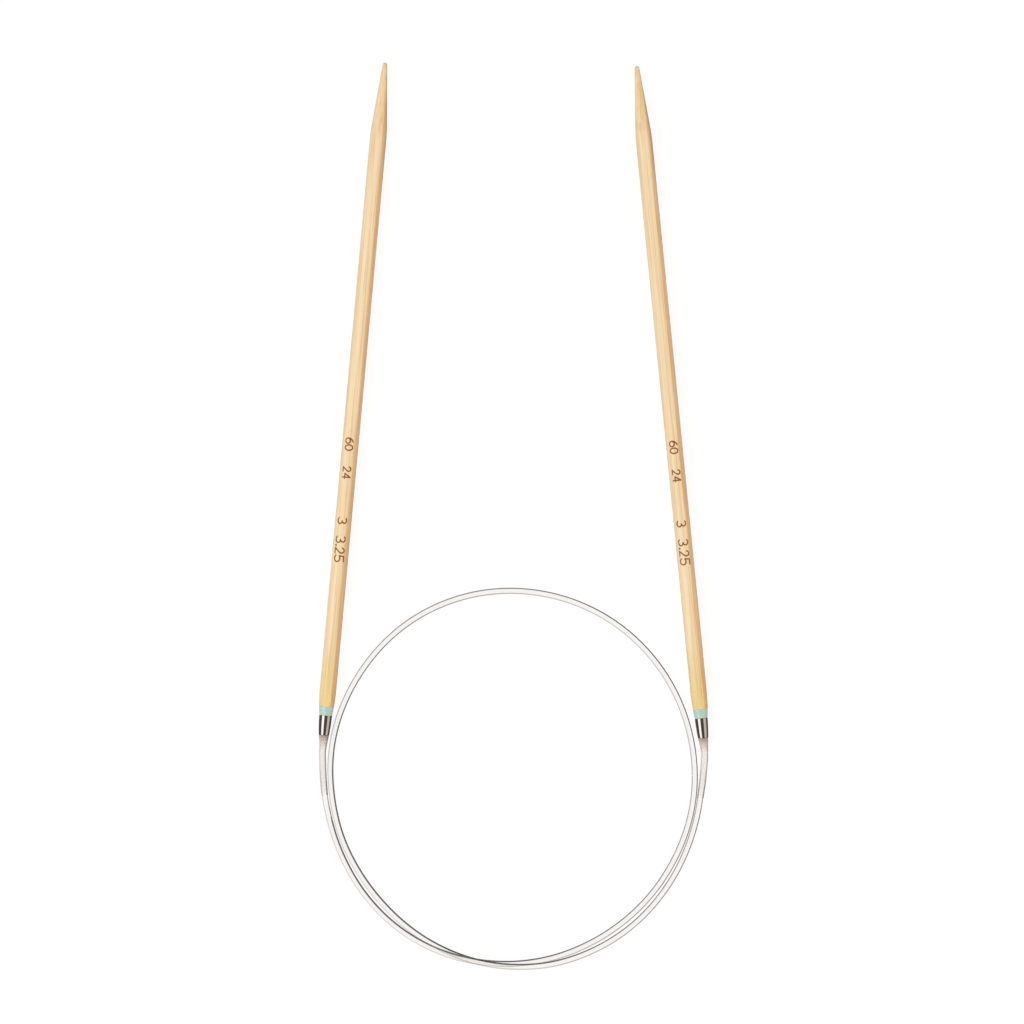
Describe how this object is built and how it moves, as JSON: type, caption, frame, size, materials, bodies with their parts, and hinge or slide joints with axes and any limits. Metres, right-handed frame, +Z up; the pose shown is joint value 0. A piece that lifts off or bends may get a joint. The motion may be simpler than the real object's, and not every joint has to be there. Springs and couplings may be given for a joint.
{
  "type": "circular knitting needle",
  "caption": "Circular knitting needle: tapered bamboo points with plated ferrules on a clear nylon cord laid in a loop.",
  "frame": {"origin": "on the table, under the middle of the box round the two needles", "axes": "+Y from the loop of cord to the needles' points, +X from the left needle to the right one, +Z up from the table"},
  "size_m": [0.0768, 0.1787, 0.0032],
  "materials": {
    "shaft": "bamboo, sanded, waxed and lightly polished",
    "size_ring": "moulded in pale mint, satin",
    "ferrule": "bright nickel plating on brass",
    "anchor": "plain turned brass, hidden inside the ferrule",
    "collar": "milky clear, smooth",
    "sleeve": "milky clear, smooth",
    "cord": "clear nylon, smooth and slightly milky"
  },
  "bodies": {
    "cord_loop": {"cord": "cord"},
    "left_bend": {"left_sleeve": "sleeve"},
    "left_holder": {"left_collar": "collar", "left_anchor": "anchor"},
    "left_needle": {"left_ferrule": "ferrule", "left_size_ring": "size_ring", "left_shaft": "shaft"},
    "right_bend": {"right_sleeve": "sleeve"},
    "right_holder": {"right_collar": "collar", "right_anchor": "anchor"},
    "right_needle": {"right_ferrule": "ferrule", "right_size_ring": "size_ring", "right_shaft": "shaft"}
  },
  "joints": [
    {"name": "left_lift", "type": "hinge", "parent": "cord_loop", "child": "left_bend", "pos_m": [-0.03626, -0.08104, 0.00068], "axis": [0.9959, -0.0906, 0], "range_deg": [0, 45], "stiffness_Nm_per_rad": 0.02, "deforming": ["cord"]},
    {"name": "left_swing", "type": "hinge", "parent": "left_bend", "child": "left_holder", "pos_m": [-0.03754, -0.0719, 0.00137], "axis": [0, 0, 1], "range_deg": [0, 40], "stiffness_Nm_per_rad": 0.02, "deforming": ["cord", "left_sleeve"]},
    {"name": "left_swivel", "type": "hinge", "parent": "left_holder", "child": "left_needle", "pos_m": [-0.03735, -0.06445, 0.00162], "axis": [0.0906, 0.9959, 0], "continuous": true},
    {"name": "right_lift", "type": "hinge", "parent": "cord_loop", "child": "right_bend", "pos_m": [0.03588, -0.08157, 0.00075], "axis": [0.9951, 0.0985, 0], "range_deg": [0, 45], "stiffness_Nm_per_rad": 0.02, "deforming": ["cord"]},
    {"name": "right_swing", "type": "hinge", "parent": "right_bend", "child": "right_holder", "pos_m": [0.03735, -0.07244, 0.00135], "axis": [0, 0, -1], "range_deg": [0, 40], "stiffness_Nm_per_rad": 0.02, "deforming": ["cord", "right_sleeve"]},
    {"name": "right_swivel", "type": "hinge", "parent": "right_holder", "child": "right_needle", "pos_m": [0.03735, -0.065, 0.00162], "axis": [-0.0985, 0.9951, 0], "continuous": true}
  ]
}
